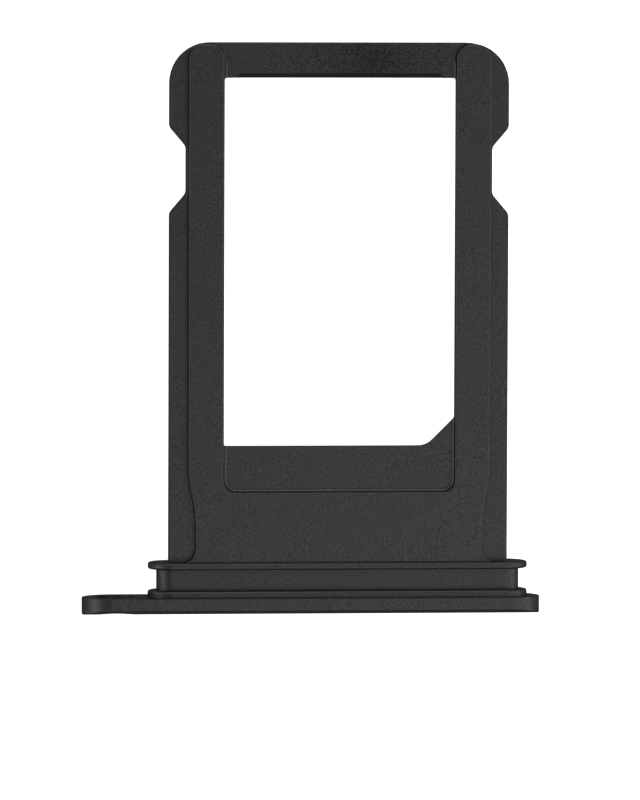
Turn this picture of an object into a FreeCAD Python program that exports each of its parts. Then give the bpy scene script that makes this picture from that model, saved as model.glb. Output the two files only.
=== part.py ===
"""A sim card tray: one machined piece with a faceplate, a gasket groove, a card seat and detent notches."""
import FreeCAD, Part
import math
import os

import Sketcher

# Driving sizes in millimetres. X runs along the faceplate, Y from its outer face to the tip, and Z towards
# the side with the rails. Seat, window, walls and tip follow from the card's size.
SIZES = {
    # Card, and the room it needs in its seat
    "card_length": 12.3,
    "card_width": 8.8,
    "card_thickness": 0.67,
    "card_corner_radius": 1.0,
    "card_corner_cut": 1.65,
    "card_side_clearance": 0.06,
    "card_depth_clearance": 0.03,
    "seat_cut_end_radius": 0.3,
    # Walls round the seat, and the ledge that the card rests on
    "side_wall": 0.695,
    "notch_wall": 0.19,
    "tip_wall": 0.45,
    "seat_setback": 2.935,
    "side_ledge": 0.93,
    "end_ledge": 0.612,
    "corner_ledge": 0.5,
    "ledge_thickness": 0.2,
    # Faceplate, a long rounded bar with a crowned outer face and the eject hole at its left end
    "faceplate_height": 1.8,
    "faceplate_thickness": 0.53,
    "faceplate_crown": 0.16,
    "faceplate_left_reach": 2.016,
    "faceplate_right_reach": 0.384,
    "faceplate_edge_radius": 0.04,
    "eject_hole_diameter": 1.14,
    "eject_hole_from_end": 1.03,
    # Neck with two ridges and the gasket groove between them
    "ridge_reach": 0.655,
    "ridge_height": 1.44,
    "front_ridge_thickness": 0.215,
    "rear_ridge_thickness": 0.21,
    "groove_width": 0.645,
    "groove_depth": 0.26,
    "ridge_edge_radius": 0.07,
    # Frame, the flat slab behind the neck
    "frame_drop": 0.53,
    "frame_edge_radius": 0.025,
    "tip_corner_radius": 1.235,
    "notch_from_tip": 3.88,
    "notch_opening": 2.61,
    "notch_flat": 1.43,
    "notch_corner_radius": 0.29,
    # Rails beside the window, joined by an apron in front of it
    "rail_height": 0.19,
    "rail_setback": 0.035,
    "rail_tip_radius": 0.46,
    "rail_edge_radius": 0.06,
    "waist_inset": 0.235,
    "waist_length": 1.44,
    "waist_slope_length": 1.16,
    "waist_radius": 4.0,
    "flare_radius": 0.48,
    "flare_overlap": 0.02,
    # Window, and the recess that leads the reader's contacts to it
    "window_corner_radius": 0.08,
    "window_cut_front_radius": 0.62,
    "window_cut_rear_radius": 0.13,
    "recess_reach": 1.4,
    "recess_corner_radius": 0.36,
    "recess_foot_radius": 0.11,
    # Lead-in slope on the window side of the tip bar, cut from an outline that starts over the window
    "lead_in_inset": 0.47,
    "lead_in_reach": 0.42,
    "lead_in_width": 0.14,
    "lead_in_land": 0.04,
}

SHEET = "Sizes"
TOLERANCE = 1e-4


class Size:
    """A length as it stands, with the formula over the sheet's cells that it follows."""

    def __init__(self, value, formula):
        self.value = value
        self.formula = formula

    @staticmethod
    def of(other):
        """Takes a plain number as a length."""
        if isinstance(other, Size):
            return other
        return Size(float(other), repr(float(other)))

    def __add__(self, other):
        other = Size.of(other)
        return Size(self.value + other.value, f"({self.formula} + {other.formula})")

    def __sub__(self, other):
        other = Size.of(other)
        return Size(self.value - other.value, f"({self.formula} - {other.formula})")

    def __mul__(self, other):
        other = Size.of(other)
        return Size(self.value * other.value, f"({self.formula} * {other.formula})")

    def __truediv__(self, other):
        other = Size.of(other)
        return Size(self.value / other.value, f"({self.formula} / {other.formula})")

    def __neg__(self):
        return Size(-self.value, f"(-1 * {self.formula})")


def size(name):
    """The named driving size."""
    return Size(SIZES[name], f"{SHEET}.{name}")


class Places:
    """Lines that several features share, worked out from the driving sizes."""

    def __init__(self):
        self.middle = Size.of(0)

        # Along the depth, from the faceplate's outer face to the tip
        self.neck_front = size("faceplate_thickness")
        self.groove_front = self.neck_front + size("front_ridge_thickness")
        self.groove_rear = self.groove_front + size("groove_width")
        self.neck_rear = self.groove_rear + size("rear_ridge_thickness")
        self.root = self.neck_rear - size("rear_ridge_thickness") / 2
        self.seat_front = self.neck_rear + size("seat_setback")
        self.seat_rear = self.seat_front + size("card_length") + size("card_side_clearance") * 2
        self.window_front = self.seat_front + size("end_ledge")
        self.window_rear = self.seat_rear - size("end_ledge")
        self.recess_front = self.window_front - size("recess_reach")
        self.tip = self.seat_rear + size("tip_wall")
        self.rail_tip = self.tip - size("rail_setback")
        self.recess_foot_rear = self.rail_tip - size("rail_tip_radius") - size("recess_foot_radius")

        # Across the width, from the middle line outwards
        self.seat_side = size("card_width") / 2 + size("card_side_clearance")
        self.window_side = self.seat_side - size("side_ledge")
        self.notch_side = self.seat_side + size("notch_wall")
        self.rail_side = self.notch_side - size("rail_setback")
        self.waist_side = self.rail_side - size("waist_inset")
        self.frame_side = self.seat_side + size("side_wall")
        self.ridge_side = self.frame_side + size("ridge_reach")

        # Up and down, from the middle of the faceplate
        self.underside = -size("frame_drop")
        self.seat_depth = size("card_thickness") + size("card_depth_clearance")
        self.flange = self.underside + self.seat_depth + size("ledge_thickness")
        self.rail_top = self.flange + size("rail_height")

        # Ends of the faceplate
        self.left_end = -self.ridge_side - size("faceplate_left_reach")
        self.right_end = self.ridge_side + size("faceplate_right_reach")


def make_sheet(doc):
    """Writes each driving size into a cell of its own, under its name."""
    sheet = doc.addObject("Spreadsheet::Sheet", SHEET)
    for row, (name, value) in enumerate(SIZES.items(), start=1):
        sheet.set(f"A{row}", name)
        sheet.set(f"B{row}", str(value))
        sheet.setAlias(f"B{row}", name)
    doc.recompute()


def new_sketch(body, name, role, offset):
    """An empty sketch on one of the body's origin planes, moved along that plane's normal."""
    plane = next(feature for feature in body.Origin.OriginFeatures if feature.Role == role)
    sketch = body.newObject("Sketcher::SketchObject", name)
    sketch.AttachmentSupport = [(plane, "")]
    sketch.MapMode = "FlatFace"
    sketch.AttachmentOffset = FreeCAD.Placement(FreeCAD.Vector(0, 0, offset.value), FreeCAD.Rotation())
    sketch.setExpression("AttachmentOffset.Base.z", offset.formula)
    return sketch


def drive(sketch, constraint, length):
    """Adds a dimension to a sketch and ties it to its formula."""
    index = sketch.addConstraint(constraint)
    sketch.setExpression(f"Constraints[{index}]", length.formula)


class Corner:
    """A corner of an outline: where its two sides would meet, and the radius that rounds it."""

    def __init__(self, x, y, radius=None):
        self.x = x
        self.y = y
        self.radius = radius
        self.point = FreeCAD.Vector(x.value, y.value, 0)
        self.start = self.end = self.point

    def round_off(self, before, after):
        """Works out where the rounding starts and ends, between the neighbours' points."""
        inward = (self.point - before).normalize()
        outward = (after - self.point).normalize()
        reach = self.radius.value * math.tan(inward.getAngle(outward) / 2)
        self.start = self.point - inward * reach
        self.end = self.point + outward * reach
        self.left_turn = inward.cross(outward).z > 0
        side = 1 if self.left_turn else -1
        self.centre = self.start + FreeCAD.Vector(-inward.y, inward.x, 0) * side * self.radius.value

    def arc(self):
        """The rounding, drawn anticlockwise as every arc of a sketch is."""
        first, last = (self.start, self.end) if self.left_turn else (self.end, self.start)
        from_centre = first - self.centre
        to_centre = last - self.centre
        circle = Part.Circle(self.centre, FreeCAD.Vector(0, 0, 1), self.radius.value)
        start_angle = math.atan2(from_centre.y, from_centre.x)
        end_angle = math.atan2(to_centre.y, to_centre.x)
        return Part.ArcOfCircle(circle, start_angle, end_angle)


def draw_outline(sketch, corners):
    """Draws a closed outline of straight sides and rounded corners, every corner placed by its formulas."""
    count = len(corners)
    for index, corner in enumerate(corners):
        if corner.radius:
            corner.round_off(corners[index - 1].point, corners[(index + 1) % count].point)
    for index, corner in enumerate(corners):
        sketch.addGeometry(Part.LineSegment(corner.end, corners[(index + 1) % count].start), False)
    for index, corner in enumerate(corners):
        side_in = (index - 1) % count
        side_out = index
        mark = sketch.addGeometry(Part.Point(corner.point), True)
        drive(sketch, Sketcher.Constraint("DistanceX", -1, 1, mark, 1, corner.x.value), corner.x)
        drive(sketch, Sketcher.Constraint("DistanceY", -1, 1, mark, 1, corner.y.value), corner.y)
        if not corner.radius:
            sketch.addConstraint(Sketcher.Constraint("Coincident", side_in, 2, mark, 1))
            sketch.addConstraint(Sketcher.Constraint("Coincident", side_out, 1, mark, 1))
            continue
        arc = sketch.addGeometry(corner.arc(), False)
        arc_in, arc_out = (1, 2) if corner.left_turn else (2, 1)
        sketch.addConstraint(Sketcher.Constraint("PointOnObject", mark, 1, side_in))
        sketch.addConstraint(Sketcher.Constraint("PointOnObject", mark, 1, side_out))
        sketch.addConstraint(Sketcher.Constraint("Tangent", side_in, 2, arc, arc_in))
        sketch.addConstraint(Sketcher.Constraint("Tangent", side_out, 1, arc, arc_out))
        drive(sketch, Sketcher.Constraint("Radius", arc, corner.radius.value), corner.radius)


def mirrored(half):
    """A whole outline from its right half, which runs from the front of the middle line to the rear."""
    left = [Corner(-corner.x, corner.y, corner.radius) for corner in reversed(half)]
    return half + left


def draw_bar_end(sketch, left_end, right_end, radius):
    """Draws the outline of a long bar with round ends, seen end on."""
    upwards = FreeCAD.Vector(0, 0, 1)
    arcs = []
    for centre_x, start_angle in ((left_end + radius, math.pi / 2), (right_end - radius, -math.pi / 2)):
        circle = Part.Circle(FreeCAD.Vector(centre_x.value, 0, 0), upwards, radius.value)
        arc = sketch.addGeometry(Part.ArcOfCircle(circle, start_angle, start_angle + math.pi), False)
        drive(sketch, Sketcher.Constraint("DistanceX", -1, 1, arc, 3, centre_x.value), centre_x)
        sketch.addConstraint(Sketcher.Constraint("PointOnObject", arc, 3, -1))
        arcs.append(arc)
    left, right = arcs
    left_x = (left_end + radius).value
    right_x = (right_end - radius).value
    sides = []
    for start_x, end_x, y in ((right_x, left_x, radius.value), (left_x, right_x, -radius.value)):
        side = Part.LineSegment(FreeCAD.Vector(start_x, y, 0), FreeCAD.Vector(end_x, y, 0))
        sides.append(sketch.addGeometry(side, False))
    top, bottom = sides
    sketch.addConstraint(Sketcher.Constraint("Tangent", right, 2, top, 1))
    sketch.addConstraint(Sketcher.Constraint("Tangent", top, 2, left, 1))
    sketch.addConstraint(Sketcher.Constraint("Tangent", left, 2, bottom, 1))
    sketch.addConstraint(Sketcher.Constraint("Tangent", bottom, 2, right, 1))
    drive(sketch, Sketcher.Constraint("Radius", left, radius.value), radius)


def finish(body, feature):
    """Recomputes a new feature as the body's newest."""
    body.Tip = feature
    body.Document.recompute()


def pad(body, sketch, name, length, reverse=False):
    """Adds material from a sketch."""
    feature = body.newObject("PartDesign::Pad", name)
    feature.Profile = sketch
    feature.Reversed = reverse
    feature.setExpression("Length", length.formula)
    finish(body, feature)


def pocket(body, sketch, name, length, reverse=False, taper=None):
    """Cuts material away from a sketch, and makes sure that something was cut."""
    before = body.Shape.Volume
    feature = body.newObject("PartDesign::Pocket", name)
    feature.Profile = sketch
    feature.Reversed = reverse
    feature.setExpression("Length", length.formula)
    if taper:
        feature.setExpression("TaperAngle", taper)
    finish(body, feature)
    if body.Shape.Volume >= before:
        raise RuntimeError(f"{name} cuts nothing")


def round_edges(body, name, radius, choose):
    """Rounds those edges of the body that a test picks out."""
    base = body.Tip
    picked = [f"Edge{index}" for index, edge in enumerate(base.Shape.Edges, start=1) if choose(edge)]
    if not picked:
        raise RuntimeError(f"{name} finds no edge")
    feature = body.newObject("PartDesign::Fillet", name)
    feature.Base = (base, picked)
    feature.setExpression("Radius", radius.formula)
    finish(body, feature)


def lies_at(edge, axis, place):
    """Whether a whole edge lies in the plane at a place along an axis."""
    box = edge.BoundBox
    low, high = {"Y": (box.YMin, box.YMax), "Z": (box.ZMin, box.ZMax)}[axis]
    return abs(low - place.value) < TOLERANCE and abs(high - place.value) < TOLERANCE


def reaches_up_to(edge, height):
    """Whether an edge's highest point lies at a height, or mirrors one that does."""
    return abs(max(edge.BoundBox.ZMax, -edge.BoundBox.ZMin) - height.value) < TOLERANCE


def lies_between(edge, side):
    """Whether a whole edge lies between two places at equal distances left and right of the middle line."""
    box = edge.BoundBox
    return max(abs(box.XMin), abs(box.XMax)) < side.value + TOLERANCE


def add_neck(body, at):
    """Faceplate and neck as round-ended bars behind the outer face, and the groove all round the neck."""
    face = new_sketch(body, "faceplate_outline", "XZ_Plane", at.middle)
    draw_bar_end(face, at.left_end, at.right_end, size("faceplate_height") / 2)
    pad(body, face, "faceplate", size("faceplate_thickness"), reverse=True)

    neck = new_sketch(body, "neck_outline", "XZ_Plane", at.middle)
    draw_bar_end(neck, -at.ridge_side, at.ridge_side, size("ridge_height") / 2)
    pad(body, neck, "neck", at.neck_rear, reverse=True)

    groove = new_sketch(body, "groove_outline", "XZ_Plane", -at.groove_front)
    for step in (size("groove_depth"), -size("groove_depth")):
        draw_bar_end(groove, -at.ridge_side - step, at.ridge_side + step, size("ridge_height") / 2 + step)
    pocket(body, groove, "gasket_groove", size("groove_width"))
    ridge_ends = (at.groove_front, at.groove_rear, at.neck_rear)
    half_height = size("ridge_height") / 2
    round_edges(body, "ridge_edges", size("ridge_edge_radius"),
                lambda edge: any(lies_at(edge, "Y", end) for end in ridge_ends)
                and reaches_up_to(edge, half_height))


def add_crown(body, at):
    """Crown of the faceplate's outer face, an arc from its lower to its upper edge, cut along its length."""
    crown = size("faceplate_crown")
    half_height = size("faceplate_height") / 2
    radius = (half_height * half_height + crown * crown) / (crown * 2)
    peak = radius - radius * radius / (radius - crown)
    outline = new_sketch(body, "crown_outline", "YZ_Plane", at.right_end)
    draw_outline(outline, [
        Corner(peak, at.middle, radius),
        Corner(crown * 2 - peak, size("faceplate_height")),
        Corner(peak * 2, size("faceplate_height")),
        Corner(peak * 2, -size("faceplate_height")),
        Corner(crown * 2 - peak, -size("faceplate_height")),
    ])
    pocket(body, outline, "crown", at.right_end - at.left_end)


def add_frame(body, at):
    """Flat frame with its two detent notches and its rounded tip."""
    notch = at.tip - size("notch_from_tip")
    opening = size("notch_opening") / 2
    flat = size("notch_flat") / 2
    rounding = size("notch_corner_radius")
    outline = new_sketch(body, "frame_outline", "XY_Plane", at.underside)
    draw_outline(outline, mirrored([
        Corner(at.frame_side, at.root),
        Corner(at.frame_side, notch - opening, rounding),
        Corner(at.notch_side, notch - flat, rounding),
        Corner(at.notch_side, notch + flat, rounding),
        Corner(at.frame_side, notch + opening, rounding),
        Corner(at.frame_side, at.tip, size("tip_corner_radius")),
    ]))
    pad(body, outline, "frame", at.flange - at.underside)
    round_edges(body, "frame_edges", size("frame_edge_radius"),
                lambda edge: (lies_at(edge, "Z", at.underside) or lies_at(edge, "Z", at.flange))
                and not lies_at(edge, "Y", at.neck_rear))


def add_rails(body, at):
    """Raised plate that the rails are left from, waisted in front and flared into the neck."""
    flare_end = at.neck_rear - size("flare_overlap")
    waist_rear = at.neck_rear + size("waist_length") + size("waist_slope_length")
    outline = new_sketch(body, "rail_outline", "XY_Plane", at.flange)
    draw_outline(outline, mirrored([
        Corner(at.frame_side, at.groove_rear),
        Corner(at.frame_side, flare_end),
        Corner(at.waist_side, flare_end, size("flare_radius")),
        Corner(at.waist_side, at.neck_rear + size("waist_length"), size("waist_radius")),
        Corner(at.rail_side, waist_rear, size("waist_radius")),
        Corner(at.rail_side, at.rail_tip, size("rail_tip_radius")),
    ]))
    pad(body, outline, "rails", size("rail_height"))


def add_recess(body, at):
    """Recess between the rails, round at its foot, and its mouth, which rounds off the rails' ends."""
    outline = new_sketch(body, "recess_outline", "XY_Plane", at.rail_top)
    draw_outline(outline, mirrored([
        Corner(at.window_side, at.recess_front, size("recess_corner_radius")),
        Corner(at.window_side, at.rail_tip),
    ]))
    pocket(body, outline, "recess", size("rail_height"))
    round_edges(body, "recess_foot", size("recess_foot_radius"),
                lambda edge: lies_at(edge, "Z", at.flange) and lies_between(edge, at.window_side))

    mouth = new_sketch(body, "recess_mouth_outline", "XY_Plane", at.rail_top)
    draw_outline(mouth, mirrored([
        Corner(at.window_side, at.recess_foot_rear),
        Corner(at.window_side, at.rail_tip, size("rail_tip_radius")),
        Corner(at.rail_side, at.rail_tip),
        Corner(at.rail_side, at.tip),
    ]))
    pocket(body, mouth, "recess_mouth", size("rail_height"))


def add_window(body, at):
    """Window right through the frame, with one corner cut off beside the card's own cut corner."""
    seat_cut = seat_corner_cut()
    cut = seat_cut + size("corner_ledge") * math.sqrt(2) - size("side_ledge") - size("end_ledge")
    small = size("window_corner_radius")
    outline = new_sketch(body, "window_outline", "XY_Plane", at.rail_top)
    draw_outline(outline, [
        Corner(-at.window_side, at.window_front, small),
        Corner(at.window_side - cut, at.window_front, size("window_cut_front_radius")),
        Corner(at.window_side, at.window_front + cut, size("window_cut_rear_radius")),
        Corner(at.window_side, at.window_rear, small),
        Corner(-at.window_side, at.window_rear, small),
    ])
    pocket(body, outline, "window", at.rail_top - at.underside)


def seat_corner_cut():
    """How far the seat's corner is cut back each way, to keep the clearance beside the card's cut too."""
    return size("card_corner_cut") + size("card_side_clearance") * (2 - math.sqrt(2))


def add_card_seat(body, at):
    """Seat cut from below to the card's outline and thickness."""
    cut = seat_corner_cut()
    rounding = size("card_corner_radius") + size("card_side_clearance")
    cut_end = size("seat_cut_end_radius")
    outline = new_sketch(body, "seat_outline", "XY_Plane", at.underside)
    draw_outline(outline, [
        Corner(-at.seat_side, at.seat_front, rounding),
        Corner(at.seat_side - cut, at.seat_front, cut_end),
        Corner(at.seat_side, at.seat_front + cut, cut_end),
        Corner(at.seat_side, at.seat_rear, rounding),
        Corner(-at.seat_side, at.seat_rear, rounding),
    ])
    pocket(body, outline, "card_seat", at.seat_depth, reverse=True)


def add_lead_in(body, at):
    """Slope that lifts the reader's contacts over the tip bar, narrowing as it goes down."""
    width = size("lead_in_width")
    depth = size("ledge_thickness") - size("lead_in_land")
    side = at.window_side - size("lead_in_inset")
    rear = at.window_rear + width
    reach = size("lead_in_reach")
    outline = new_sketch(body, "lead_in_outline", "XY_Plane", at.flange)
    draw_outline(outline, mirrored([
        Corner(side + reach, rear - reach),
        Corner(side, rear),
    ]))
    pocket(body, outline, "lead_in", depth, taper=f"-atan({(width / depth).formula})")


def add_eject_hole(body, at):
    """Hole for the eject pin, through the faceplate's free end."""
    centre_x = at.left_end + size("eject_hole_from_end")
    radius = size("eject_hole_diameter") / 2
    sketch = new_sketch(body, "eject_hole_outline", "XZ_Plane", at.middle)
    circle = Part.Circle(FreeCAD.Vector(centre_x.value, 0, 0), FreeCAD.Vector(0, 0, 1), radius.value)
    rim = sketch.addGeometry(circle, False)
    drive(sketch, Sketcher.Constraint("DistanceX", -1, 1, rim, 3, centre_x.value), centre_x)
    sketch.addConstraint(Sketcher.Constraint("PointOnObject", rim, 3, -1))
    drive(sketch, Sketcher.Constraint("Radius", rim, radius.value), radius)
    pocket(body, sketch, "eject_hole", size("faceplate_thickness"))


def break_edges(body, at):
    """Broken edges on what the fingers and the reader touch."""
    round_edges(body, "rail_edges", size("rail_edge_radius"),
                lambda edge: lies_at(edge, "Z", at.rail_top) and not lies_at(edge, "Y", at.neck_rear))
    crown_rear = size("faceplate_crown").value + TOLERANCE
    round_edges(body, "faceplate_edges", size("faceplate_edge_radius"),
                lambda edge: edge.BoundBox.YMax < crown_rear)


def build_tray(doc):
    """Models the tray, and sets it down with its underside's middle at the origin."""
    at = Places()
    body = doc.addObject("PartDesign::Body", "tray")
    body.Label = "tray"
    add_neck(body, at)
    add_crown(body, at)
    add_frame(body, at)
    add_rails(body, at)
    add_recess(body, at)
    add_window(body, at)
    add_card_seat(body, at)
    add_lead_in(body, at)
    add_eject_hole(body, at)
    break_edges(body, at)

    shift = {
        "x": (at.left_end + at.right_end) / -2,
        "y": at.tip / -2,
        "z": size("faceplate_height") / 2,
    }
    for axis, move in shift.items():
        body.setExpression(f"Placement.Base.{axis}", move.formula)
    doc.recompute()
    return body


def check(doc, bodies):
    """Stops if any object failed to compute or any piece is not a sound solid."""
    for item in doc.Objects:
        if {"Invalid", "Error"} & set(item.State):
            raise RuntimeError(f"{item.Name} failed: {item.State}")
    for body in bodies:
        if body.Shape.isNull() or not body.Shape.isValid() or len(body.Shape.Solids) != 1:
            raise RuntimeError(f"{body.Label} is not one sound solid")


def main():
    """Builds the document and writes each piece to its own file."""
    doc = FreeCAD.newDocument("sim_card_tray")
    make_sheet(doc)
    bodies = [build_tray(doc)]
    check(doc, bodies)
    os.makedirs("parts", exist_ok=True)
    for body in bodies:
        body.Shape.exportStep(f"parts/{body.Label}.step")
        box = body.Shape.optimalBoundingBox(True, False)
        print(f"{body.Label}: {box.XLength:.3f} x {box.YLength:.3f} x {box.ZLength:.3f} mm, "
              f"volume {body.Shape.Volume:.2f} mm3")


main()
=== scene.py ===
"""A sim card tray on a pale floor, in its anodised finish and under the lights of a product studio."""
import logging
import math
from dataclasses import dataclass, field
from enum import Enum
from typing import Any

import bpy
from mathutils import Matrix, Vector

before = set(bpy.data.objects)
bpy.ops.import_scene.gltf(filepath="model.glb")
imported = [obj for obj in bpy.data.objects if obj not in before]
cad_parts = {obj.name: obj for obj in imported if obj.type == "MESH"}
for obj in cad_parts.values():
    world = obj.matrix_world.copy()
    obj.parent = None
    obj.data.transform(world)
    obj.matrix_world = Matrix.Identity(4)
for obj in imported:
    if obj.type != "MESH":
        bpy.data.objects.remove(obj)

MM = 0.001
WHITE = "#FFFFFF"

# The sRGB curve, which is a straight line up to a point and a power above it
CHANNEL_TOP = 255
STRAIGHT_UP_TO = 0.04045
STRAIGHT_SLOPE = 12.92
CURVE_SHIFT = 0.055
CURVE_POWER = 2.4

log = logging.getLogger("sim_card_tray")


def linear(hex_colour: str) -> tuple[float, float, float, float]:
    """Turns an sRGB hex colour into linear light.

    Args:
        hex_colour: The colour as six hex digits after a hash sign.

    Returns:
        Red, green, blue and an alpha of one.
    """
    light = []
    for place in (1, 3, 5):
        value = int(hex_colour[place:place + 2], 16) / CHANNEL_TOP
        if value <= STRAIGHT_UP_TO:
            light.append(value / STRAIGHT_SLOPE)
        else:
            light.append(((value + CURVE_SHIFT) / (1 + CURVE_SHIFT)) ** CURVE_POWER)
    return light[0], light[1], light[2], 1.0


def add_node(tree: bpy.types.NodeTree, kind: str, settings: dict[str, Any] | None = None,
             inputs: dict[Any, Any] | None = None) -> bpy.types.Node:
    """Adds a node to a material or to the world, with its settings, values and links.

    Args:
        tree: The node tree of the material or the world.
        kind: The node's type name.
        settings: Properties of the node itself.
        inputs: What each input holds: a plain value, or the output socket that feeds it.

    Returns:
        The new node.
    """
    node = tree.nodes.new(kind)
    for name, value in (settings or {}).items():
        setattr(node, name, value)
    for name, value in (inputs or {}).items():
        if isinstance(value, bpy.types.NodeSocket):
            tree.links.new(value, node.inputs[name])
        else:
            node.inputs[name].default_value = value
    return node


def spans(source: tuple[float, float], target: tuple[float, float]) -> dict[str, float]:
    """The inputs with which a Map Range node takes one span of values to another."""
    return {"From Min": source[0], "From Max": source[1], "To Min": target[0], "To Max": target[1]}


def empty_material(name: str) -> bpy.types.Material:
    """Makes a material with an empty node tree.

    Args:
        name: The material's name.

    Returns:
        The material.
    """
    material = bpy.data.materials.new(name)
    material.use_nodes = True
    material.node_tree.nodes.clear()
    return material


@dataclass(frozen=True)
class BlastedAnodisedAluminium:
    """Aluminium, bead-blasted and anodised dark grey: matt, with a fine, patchy grain and quiet edges."""

    name: str = "aluminium_bead_blasted_anodised"
    light_colour: str = "#444444"
    dark_colour: str = "#2A2A2A"
    # How much of the light colour there is halfway up a dimple
    even_share: float = 0.5
    # The dyed oxide layer swallows light that skims the surface, so the side walls stay dark.
    skim_colour: str = "#BCBCBC"
    roughness: float = 0.45
    # The beads' dimples, a little longer along the tray than across it
    dimple_mm: tuple[float, float, float] = (0.028, 0.06, 0.035)
    dimple_depth_mm: float = 0.002
    dimple_detail: float = 1.0
    dimple_roughness: float = 0.6
    # The span of the dimples' noise over which the colour goes from dark to light
    dimple_span: tuple[float, float] = (0.3, 0.7)
    # The dye took to the dimples better in some patches than in others, so the grain comes and goes.
    patch_mm: float = 0.9
    patch_detail: float = 2.0
    patch_roughness: float = 0.55
    patch_span: tuple[float, float] = (0.42, 0.60)
    patch_strength: tuple[float, float] = (0.5, 0.95)
    # Painted shade: one broad, soft darkening painted on the tip bar, with more grain in it than elsewhere.
    painted_shade_colour: str = "#101010"
    painted_shade_place_mm: tuple[float, float, float] = (1.85, 8.2, 1.27)
    painted_shade_reach_mm: tuple[float, float, float] = (3.9, 2.4, 0.12)
    painted_shade_depth: float = 0.48
    painted_shade_grain: float = 1.8

    def build(self) -> bpy.types.Material:
        """Builds the finish as a node material.

        Returns:
            The material.
        """
        material = empty_material(self.name)
        tree = material.node_tree
        place = add_node(tree, "ShaderNodeTexCoord").outputs["Object"]
        dimples = self.dimples(tree, place)
        patches = self.patches(tree, place)
        colour = self.colour(tree, dimples, patches, self.shade(tree, place))
        bump = add_node(tree, "ShaderNodeBump", {}, {
            "Strength": patches,
            "Distance": self.dimple_depth_mm * MM,
            "Height": dimples})
        shader = add_node(tree, "ShaderNodeBsdfPrincipled", {}, {
            "Base Color": colour,
            "Metallic": 1.0,
            "Roughness": self.roughness,
            "Specular Tint": linear(self.skim_colour),
            "Normal": bump.outputs["Normal"]})
        add_node(tree, "ShaderNodeOutputMaterial", {}, {"Surface": shader.outputs["BSDF"]})
        return material

    def dimples(self, tree: bpy.types.NodeTree, place: bpy.types.NodeSocket) -> bpy.types.NodeSocket:
        """Adds the dimples that the beads left.

        Args:
            tree: The material's node tree.
            place: The place on the tray, in metres.

        Returns:
            The height of the surface, low in a dimple.
        """
        stretched = add_node(tree, "ShaderNodeMapping", {}, {
            "Vector": place,
            "Scale": tuple(1 / (width * MM) for width in self.dimple_mm)})
        noise = add_node(tree, "ShaderNodeTexNoise", {"noise_dimensions": "3D"}, {
            "Vector": stretched.outputs["Vector"],
            "Scale": 1.0,
            "Detail": self.dimple_detail,
            "Roughness": self.dimple_roughness})
        return noise.outputs["Fac"]

    def patches(self, tree: bpy.types.NodeTree, place: bpy.types.NodeSocket) -> bpy.types.NodeSocket:
        """Adds the patches in which the grain is fainter or stronger.

        Args:
            tree: The material's node tree.
            place: The place on the tray, in metres.

        Returns:
            The strength of the grain.
        """
        noise = add_node(tree, "ShaderNodeTexNoise", {"noise_dimensions": "3D"}, {
            "Vector": place,
            "Scale": 1 / (self.patch_mm * MM),
            "Detail": self.patch_detail,
            "Roughness": self.patch_roughness})
        strength = add_node(tree, "ShaderNodeMapRange", {}, {
            "Value": noise.outputs["Fac"],
            **spans(self.patch_span, self.patch_strength)})
        return strength.outputs["Result"]

    def shade(self, tree: bpy.types.NodeTree, place: bpy.types.NodeSocket) -> bpy.types.NodeSocket:
        """Adds the mask of the broad painted shade on the tip bar.

        Args:
            tree: The material's node tree.
            place: The place on the tray, in metres.

        Returns:
            One in the middle of the painted shade, falling to nothing at its rim.
        """
        centred = add_node(tree, "ShaderNodeMapping", {"vector_type": "TEXTURE"}, {
            "Vector": place,
            "Location": tuple(value * MM for value in self.painted_shade_place_mm),
            "Scale": tuple(value * MM for value in self.painted_shade_reach_mm)})
        shade = add_node(tree, "ShaderNodeTexGradient", {"gradient_type": "QUADRATIC_SPHERE"}, {
            "Vector": centred.outputs["Vector"]})
        return shade.outputs["Fac"]

    def colour(self, tree: bpy.types.NodeTree, dimples: bpy.types.NodeSocket, patches: bpy.types.NodeSocket,
               shade: bpy.types.NodeSocket) -> bpy.types.NodeSocket:
        """Adds the dye's colour, darker in the dimples, and lays the painted shade over it.

        Args:
            tree: The material's node tree.
            dimples: The height of the surface, low in a dimple.
            patches: The strength of the grain.
            shade: One in the middle of the painted shade, falling to nothing at its rim.

        Returns:
            The colour.
        """
        # Inside the painted shade the grain is made stronger.
        strength = add_node(tree, "ShaderNodeMath", {"operation": "MULTIPLY_ADD"}, {
            0: shade, 1: self.painted_shade_grain, 2: patches})
        swing = add_node(tree, "ShaderNodeMapRange", {}, {
            "Value": dimples,
            **spans(self.dimple_span, (-self.even_share, self.even_share))})
        light_share = add_node(tree, "ShaderNodeMath", {"operation": "MULTIPLY_ADD"}, {
            0: swing.outputs["Result"], 1: strength.outputs["Value"], 2: self.even_share})
        grained = add_node(tree, "ShaderNodeMix", {"data_type": "RGBA"}, {
            "Factor": light_share.outputs["Value"],
            "A": linear(self.dark_colour),
            "B": linear(self.light_colour)})
        # Painted shade: darkens the grained colour on the tip bar.
        painted_shade_share = add_node(tree, "ShaderNodeMath", {"operation": "MULTIPLY"}, {
            0: shade, 1: self.painted_shade_depth})
        with_painted_shade = add_node(tree, "ShaderNodeMix", {"data_type": "RGBA"}, {
            "Factor": painted_shade_share.outputs["Value"],
            "A": grained.outputs["Result"],
            "B": linear(self.painted_shade_colour)})
        return with_painted_shade.outputs["Result"]


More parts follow.
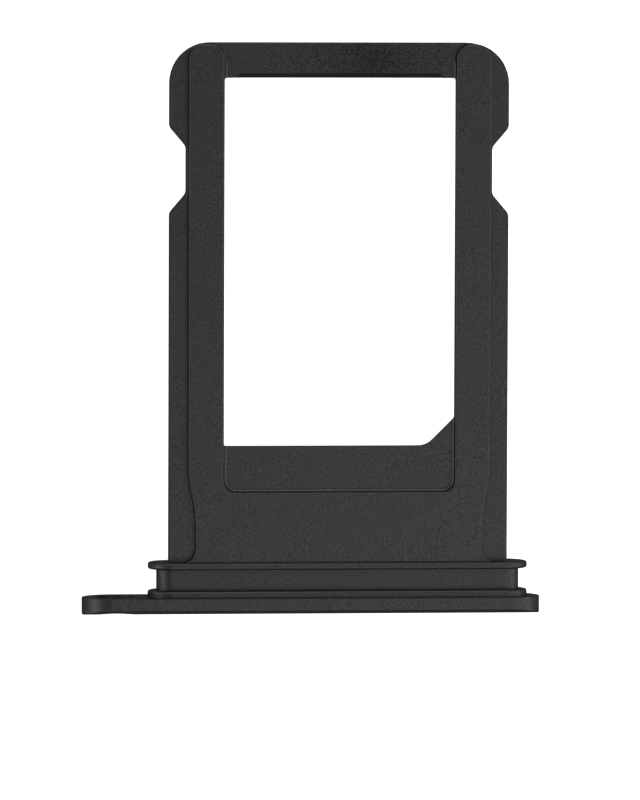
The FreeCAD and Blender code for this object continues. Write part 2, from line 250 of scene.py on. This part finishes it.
@dataclass(frozen=True)
class OpalLightTable:
    """Opal acrylic sheet, lit softly from below: plain, matt, white, and almost without shadows."""

    name: str = "acrylic_opal_matt_lit_from_below"
    colour: str = "#F2F2F2"
    glow_colour: str = WHITE
    glow: float = 0.85
    roughness: float = 0.9

    def build(self) -> bpy.types.Material:
        """Builds the finish as a node material.

        Returns:
            The material.
        """
        material = empty_material(self.name)
        tree = material.node_tree
        shader = add_node(tree, "ShaderNodeBsdfPrincipled", {}, {
            "Base Color": linear(self.colour),
            "Roughness": self.roughness,
            "Emission Color": linear(self.glow_colour),
            "Emission Strength": self.glow})
        add_node(tree, "ShaderNodeOutputMaterial", {}, {"Surface": shader.outputs["BSDF"]})
        return material


@dataclass
class Tray:
    """The tray itself, one machined piece whose shape comes from the frame."""

    node: str = "tray"
    finish: BlastedAnodisedAluminium = field(default_factory=BlastedAnodisedAluminium)

    def dress(self) -> bpy.types.Object:
        """Gives the machined piece its finish.

        Returns:
            The piece.
        """
        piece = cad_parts[self.node]
        material = self.finish.build()
        for slot in piece.material_slots:
            slot.material = material
        return piece


class Side(Enum):
    """Where a softbox stands round the tray, as the direction in which it lies."""

    LEFT = (-1.0, 0.0, 0.36)
    RIGHT = (1.0, 0.0, 0.36)
    BEHIND = (0.1, 1.0, 0.5)
    ABOVE = (0.36, -0.4, 1.0)


@dataclass
class Softbox:
    """A large soft lamp that faces the tray."""

    side: Side
    distance_mm: float
    width_mm: float
    height_mm: float
    radiance: float

    def build(self) -> bpy.types.Object:
        """Hangs the lamp in its place.

        Returns:
            The lamp.
        """
        lamp = bpy.data.lights.new(f"softbox_{self.side.name.lower()}", "AREA")
        lamp.shape = "RECTANGLE"
        lamp.size = self.width_mm * MM
        lamp.size_y = self.height_mm * MM
        lamp.energy = self.radiance * math.pi * lamp.size * lamp.size_y
        piece = bpy.data.objects.new(lamp.name, lamp)
        bpy.context.scene.collection.objects.link(piece)
        direction = Vector(self.side.value).normalized()
        piece.location = direction * self.distance_mm * MM
        piece.rotation_euler = direction.to_track_quat("Z", "Y").to_euler()
        piece.visible_camera = False
        return piece


@dataclass(frozen=True)
class Room:
    """A white room that is dim overhead, brighter low down and dimmer in front."""

    overhead_radiance: float = 0.15
    low_radiance: float = 0.75
    # The span of steepness, which is 1 straight up, over which the room gets dimmer
    steepness_span: tuple[float, float] = (0.65, 1.0)
    # The share of its light that is left in front, and the span of Y over which the rest comes back
    front_share: float = 0.5
    front_span: tuple[float, float] = (-0.8, -0.2)

    def build(self) -> None:
        """Makes the room and sets it as the scene's own."""
        world = bpy.data.worlds.new("studio_room")
        world.use_nodes = True
        tree = world.node_tree
        tree.nodes.clear()
        direction = add_node(tree, "ShaderNodeTexCoord").outputs["Generated"]
        parts = add_node(tree, "ShaderNodeSeparateXYZ", {}, {"Vector": direction})
        steepness = add_node(tree, "ShaderNodeMath", {"operation": "ABSOLUTE"}, {0: parts.outputs["Z"]})
        upwards = add_node(tree, "ShaderNodeMapRange", {"interpolation_type": "SMOOTHSTEP"}, {
            "Value": steepness.outputs["Value"],
            **spans(self.steepness_span, (self.low_radiance, self.overhead_radiance))})
        backwards = add_node(tree, "ShaderNodeMapRange", {"interpolation_type": "SMOOTHSTEP"}, {
            "Value": parts.outputs["Y"],
            **spans(self.front_span, (self.front_share, 1.0))})
        radiance = add_node(tree, "ShaderNodeMath", {"operation": "MULTIPLY"}, {
            0: upwards.outputs["Result"], 1: backwards.outputs["Result"]})
        light = add_node(tree, "ShaderNodeBackground", {}, {
            "Color": linear(WHITE),
            "Strength": radiance.outputs["Value"]})
        add_node(tree, "ShaderNodeOutputWorld", {}, {"Surface": light.outputs["Background"]})
        # So smooth a room needs no sampling as a lamp of its own.
        world.cycles.sampling_method = "NONE"
        bpy.context.scene.world = world


@dataclass
class Studio:
    """The pale floor that the tray lies on, the soft lamps round it and the room about them."""

    floor_mm: float = 3000.0
    finish: OpalLightTable = field(default_factory=OpalLightTable)
    room: Room = field(default_factory=Room)
    lamps: tuple[Softbox, ...] = (
        Softbox(Side.LEFT, distance_mm=500.0, width_mm=500.0, height_mm=330.0, radiance=2.1),
        Softbox(Side.RIGHT, distance_mm=500.0, width_mm=500.0, height_mm=330.0, radiance=1.8),
        Softbox(Side.BEHIND, distance_mm=500.0, width_mm=400.0, height_mm=460.0, radiance=1.8),
        Softbox(Side.ABOVE, distance_mm=120.0, width_mm=105.0, height_mm=105.0, radiance=1.7),
    )

    def build(self) -> None:
        """Lays the floor, hangs the lamps and sets the room's light."""
        self.lay_floor()
        for lamp in self.lamps:
            lamp.build()
        self.room.build()
        bpy.context.scene.view_settings.view_transform = "Standard"

    def lay_floor(self) -> bpy.types.Object:
        """Lays the lit sheet under the tray.

        Returns:
            The floor.
        """
        bpy.ops.object.select_all(action="DESELECT")
        bpy.ops.mesh.primitive_plane_add(size=self.floor_mm * MM, location=(0.0, 0.0, 0.0))
        floor = bpy.context.active_object
        floor.name = "studio_floor"
        floor.data.materials.append(self.finish.build())
        # Kept out of mirror rays, or the tray's side walls would glare with the lit sheet.
        floor.visible_glossy = False
        return floor


@dataclass
class ProductCamera:
    """Long lens almost straight above the tray, a little to its left and towards its tip."""

    eye_mm: tuple[float, float, float] = (-21.814, 14.2325, 238.94)
    aim_mm: tuple[float, float, float] = (0.259, -2.1785, 0.9)
    picture_up: tuple[float, float, float] = (0.0, 1.0, 0.0)
    roll_deg: float = 0.206
    lens_mm: float = 353.9
    long_side_mm: float = 36.0
    nearest_mm: float = 1.0
    farthest_mm: float = 10000.0

    def build(self) -> bpy.types.Object:
        """Sets up the camera as the scene's own.

        Returns:
            The camera.
        """
        settings = bpy.data.cameras.new("product_camera")
        settings.lens = self.lens_mm
        settings.sensor_width = self.long_side_mm
        settings.clip_start = self.nearest_mm * MM
        settings.clip_end = self.farthest_mm * MM
        camera = bpy.data.objects.new("product_camera", settings)
        bpy.context.scene.collection.objects.link(camera)
        eye = Vector(self.eye_mm) * MM
        back = (eye - Vector(self.aim_mm) * MM).normalized()
        right = Vector(self.picture_up).cross(back).normalized()
        upright = Matrix((right, back.cross(right), back)).transposed().to_4x4()
        roll = Matrix.Rotation(math.radians(self.roll_deg), 4, "Z")
        camera.matrix_world = Matrix.Translation(eye) @ upright @ roll
        bpy.context.scene.camera = camera
        return camera


def main() -> None:
    """Dresses the tray, sets the studio and camera round it and logs what it built."""
    logging.basicConfig(level=logging.INFO, format="%(name)s: %(message)s")
    bpy.context.view_layer.update()
    tray = Tray().dress()
    log.info("%s: %d faces, finish %s", tray.name, len(tray.data.polygons), tray.active_material.name)
    studio = Studio()
    studio.build()
    log.info("studio: floor and %d lamps", len(studio.lamps))
    camera = ProductCamera().build()
    log.info("%s: %.1f mm lens", camera.name, camera.data.lens)
    bpy.context.view_layer.update()


if __name__ == "__main__":
    main()
